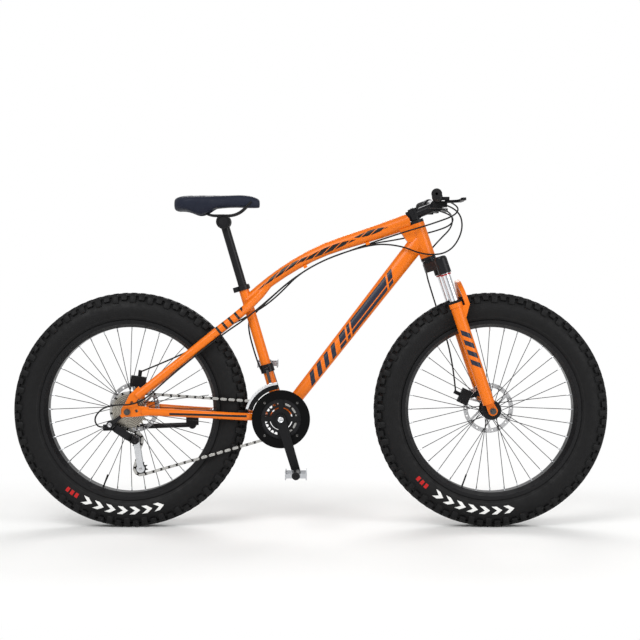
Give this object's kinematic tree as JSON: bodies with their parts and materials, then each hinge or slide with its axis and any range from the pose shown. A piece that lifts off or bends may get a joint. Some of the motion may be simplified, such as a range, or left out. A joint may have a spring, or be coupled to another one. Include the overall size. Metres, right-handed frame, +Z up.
{
  "type": "fat tire bike",
  "caption": "Orange hardtail fat bike with a curved top tube, wide knobbly black tyres, sprung fork, disc brakes and a chain drive on its right side.",
  "frame": {"origin": "on the ground midway between the two wheel axles, in the frame's middle plane", "axes": "+X towards the front wheel, +Y to the rider's left, +Z up"},
  "size_m": [1.8774, 0.6712, 1.0475],
  "materials": {
    "frame_paint": "gloss",
    "fork_paint": "gloss",
    "black_alloy": "satin",
    "black_steel": "satin",
    "bright_steel": "brushed",
    "chrome": "polished",
    "silver_alloy": "satin",
    "tyre_rubber": "matte",
    "grip_rubber": "matte",
    "control_plastic": "matte",
    "pulley_plastic": "matte",
    "cable_cover": "satin",
    "saddle_cover": "matte"
  },
  "bodies": {
    "frame": {"head_tube": "frame_paint", "top_tube": "frame_paint", "down_tube": "frame_paint", "seat_tube": "frame_paint", "stays": "frame_paint", "dropouts": "frame_paint", "bearing_cups": "black_alloy", "seat_clamp": "black_alloy", "kickstand_bracket": "black_steel", "cable_guides": "control_plastic", "rear_axle": "bright_steel", "rear_caliper": "black_alloy", "front_derailleur_body": "silver_alloy", "rear_derailleur_bracket": "black_steel", "frame_cables": "cable_cover", "chain": "bright_steel"},
    "seat_post": {"seatpost": "black_alloy"},
    "saddle_unit": {"saddle": "saddle_cover", "saddle_rails": "black_steel"},
    "clamp_lever": {"seat_clamp_lever": "black_alloy"},
    "kickstand": {"kickstand_leg": "black_alloy"},
    "steering": {"fork_crown": "black_alloy", "stanchions": "chrome", "stem": "black_alloy", "handlebar": "black_alloy", "grips": "grip_rubber", "bar_controls": "control_plastic", "front_brake_cable": "cable_cover"},
    "right_brake_lever": {"brake_lever_right": "black_alloy"},
    "left_brake_lever": {"brake_lever_left": "black_alloy"},
    "right_shift_lever": {"shift_lever_right": "control_plastic"},
    "left_shift_lever": {"shift_lever_left": "control_plastic"},
    "fork_slider": {"fork_lowers": "fork_paint", "front_axle": "bright_steel", "front_caliper": "black_alloy"},
    "front_brake_arm": {"front_caliper_arm": "black_alloy"},
    "rear_brake_arm": {"rear_caliper_arm": "black_alloy"},
    "front_wheel": {"front_hub": "black_alloy", "front_rim": "black_alloy", "front_tyre": "tyre_rubber", "front_spokes": "black_steel", "front_rotor": "bright_steel"},
    "rear_wheel": {"rear_hub": "black_alloy", "rear_rim": "black_alloy", "rear_tyre": "tyre_rubber", "rear_spokes": "black_steel", "rear_rotor": "bright_steel"},
    "freewheel": {"sprockets": "bright_steel"},
    "crankset": {"crank_right": "black_steel", "crank_left": "black_steel", "chainrings": "black_steel"},
    "right_pedal": {"pedal_right": "silver_alloy"},
    "left_pedal": {"pedal_left": "silver_alloy"},
    "derailleur_outer_link": {"rear_derailleur_outer_link": "black_steel"},
    "derailleur_inner_link": {"rear_derailleur_inner_link": "black_steel"},
    "derailleur_knuckle": {"rear_derailleur_knuckle": "black_steel"},
    "derailleur_cage": {"rear_derailleur_cage": "silver_alloy"},
    "guide_pulley": {"upper_pulley": "pulley_plastic"},
    "tension_pulley": {"lower_pulley": "pulley_plastic"},
    "front_shift_cage": {"front_derailleur_cage": "silver_alloy"}
  },
  "joints": [
    {"name": "steering_turn", "type": "hinge", "parent": "frame", "child": "steering", "pos_m": [0.34638, 0, 0.92819], "axis": [-0.3173, 0, 0.9483], "range_deg": [-50, 50], "deforming": ["frame_cables"]},
    {"name": "fork_travel", "type": "slide", "parent": "steering", "child": "fork_slider", "axis": [-0.3173, 0, 0.9483], "range_m": [0, 0.06], "stiffness_N_per_m": 6000, "springref_m": -0.015, "deforming": ["front_brake_cable"]},
    {"name": "front_wheel_spin", "type": "hinge", "parent": "fork_slider", "child": "front_wheel", "pos_m": [0.569, 0, 0.37], "axis": [0, 1, 0], "continuous": true},
    {"name": "rear_wheel_spin", "type": "hinge", "parent": "frame", "child": "rear_wheel", "pos_m": [-0.569, 0, 0.37], "axis": [0, 1, 0], "continuous": true},
    {"name": "crank_spin", "type": "hinge", "parent": "frame", "child": "crankset", "pos_m": [-0.093, 0, 0.345], "axis": [0, 1, 0], "continuous": true, "deforming": ["chain"]},
    {"name": "freewheel_spin", "type": "hinge", "parent": "frame", "child": "freewheel", "pos_m": [-0.569, 0, 0.37], "axis": [0, 1, 0], "continuous": true},
    {"name": "right_pedal_spin", "type": "hinge", "parent": "crankset", "child": "right_pedal", "pos_m": [-0.04443, 0, 0.18208], "axis": [0, 1, 0], "continuous": true},
    {"name": "left_pedal_spin", "type": "hinge", "parent": "crankset", "child": "left_pedal", "pos_m": [-0.14157, 0, 0.50792], "axis": [0, 1, 0], "continuous": true},
    {"name": "derailleur_shift", "type": "hinge", "parent": "frame", "child": "derailleur_outer_link", "pos_m": [-0.60796, -0.0905, 0.32011], "axis": [-0.5496, 0, -0.8354], "range_deg": [0, 28]},
    {"name": "derailleur_inner_swing", "type": "hinge", "parent": "frame", "child": "derailleur_inner_link", "pos_m": [-0.60796, -0.0745, 0.32011], "axis": [-0.5496, 0, -0.8354], "range_deg": [0, 28]},
    {"name": "derailleur_knuckle_swing", "type": "hinge", "parent": "derailleur_outer_link", "child": "derailleur_knuckle", "pos_m": [-0.56204, -0.0905, 0.28989], "axis": [-0.5496, 0, -0.8354], "range_deg": [-28, 0]},
    {"name": "derailleur_cage_swing", "type": "hinge", "parent": "derailleur_knuckle", "child": "derailleur_cage", "pos_m": [-0.547, 0, 0.28], "axis": [0, 1, 0], "range_deg": [-25, 40], "stiffness_Nm_per_rad": 0.6},
    {"name": "guide_pulley_spin", "type": "hinge", "parent": "derailleur_cage", "child": "guide_pulley", "pos_m": [-0.547, 0, 0.28], "axis": [0, 1, 0], "continuous": true},
    {"name": "tension_pulley_spin", "type": "hinge", "parent": "derailleur_cage", "child": "tension_pulley", "pos_m": [-0.53257, 0, 0.18914], "axis": [0, 1, 0], "continuous": true},
    {"name": "front_shift", "type": "hinge", "parent": "frame", "child": "front_shift_cage", "pos_m": [-0.13901, -0.034, 0.50033], "axis": [-0.9588, 0, -0.284], "range_deg": [0, 11]},
    {"name": "right_brake_pull", "type": "hinge", "parent": "steering", "child": "right_brake_lever", "pos_m": [0.41516, -0.19364, 1.03089], "axis": [0, 0, -1], "range_deg": [0, 20], "stiffness_Nm_per_rad": 0.5, "springref_deg": -5.73},
    {"name": "left_brake_pull", "type": "hinge", "parent": "steering", "child": "left_brake_lever", "pos_m": [0.41516, 0.19364, 1.03089], "axis": [0, 0, 1], "range_deg": [0, 20], "stiffness_Nm_per_rad": 0.5, "springref_deg": -5.73},
    {"name": "rear_brake_arm_turn", "type": "hinge", "parent": "frame", "child": "rear_brake_arm", "pos_m": [-0.55731, 0, 0.45318], "axis": [0, 1, 0], "range_deg": [0, 20]},
    {"name": "front_brake_arm_turn", "type": "hinge", "parent": "fork_slider", "child": "front_brake_arm", "pos_m": [0.49318, 0, 0.40616], "axis": [0, 1, 0], "range_deg": [0, 20]},
    {"name": "right_shift_push", "type": "hinge", "parent": "steering", "child": "right_shift_lever", "pos_m": [0.39593, -0.1646, 1.03089], "axis": [0, 0, 1], "range_deg": [0, 25], "stiffness_Nm_per_rad": 0.2, "springref_deg": -5.73},
    {"name": "left_shift_push", "type": "hinge", "parent": "steering", "child": "left_shift_lever", "pos_m": [0.39593, 0.1646, 1.03089], "axis": [0, 0, -1], "range_deg": [0, 25], "stiffness_Nm_per_rad": 0.2, "springref_deg": -5.73},
    {"name": "seatpost_height", "type": "slide", "parent": "frame", "child": "seat_post", "axis": [-0.284, 0, 0.9588], "range_m": [-0.12, 0.06]},
    {"name": "saddle_tilt", "type": "hinge", "parent": "seat_post", "child": "saddle_unit", "pos_m": [-0.27646, 0, 0.96439], "axis": [0, 1, 0], "range_deg": [-10, 10]},
    {"name": "clamp_lever_open", "type": "hinge", "parent": "frame", "child": "clamp_lever", "pos_m": [-0.23863, 0.025, 0.74511], "axis": [-0.284, 0, 0.9588], "range_deg": [0, 150]},
    {"name": "kickstand_swing", "type": "hinge", "parent": "frame", "child": "kickstand", "pos_m": [-0.3832, 0.091, 0.3121], "axis": [0, -1, 0], "range_deg": [0, 95]}
  ],
  "couplings": [
    {"joint": "freewheel_spin", "follows": "crank_spin", "ratio": 0.85714},
    {"joint": "tension_pulley_spin", "follows": "crank_spin", "ratio": 2.4},
    {"joint": "guide_pulley_spin", "follows": "crank_spin", "ratio": -2.4},
    {"joint": "derailleur_inner_swing", "follows": "derailleur_shift", "ratio": 1},
    {"joint": "derailleur_knuckle_swing", "follows": "derailleur_shift", "ratio": -1},
    {"joint": "rear_brake_arm_turn", "follows": "right_brake_pull", "ratio": 1},
    {"joint": "front_brake_arm_turn", "follows": "left_brake_pull", "ratio": 1}
  ]
}
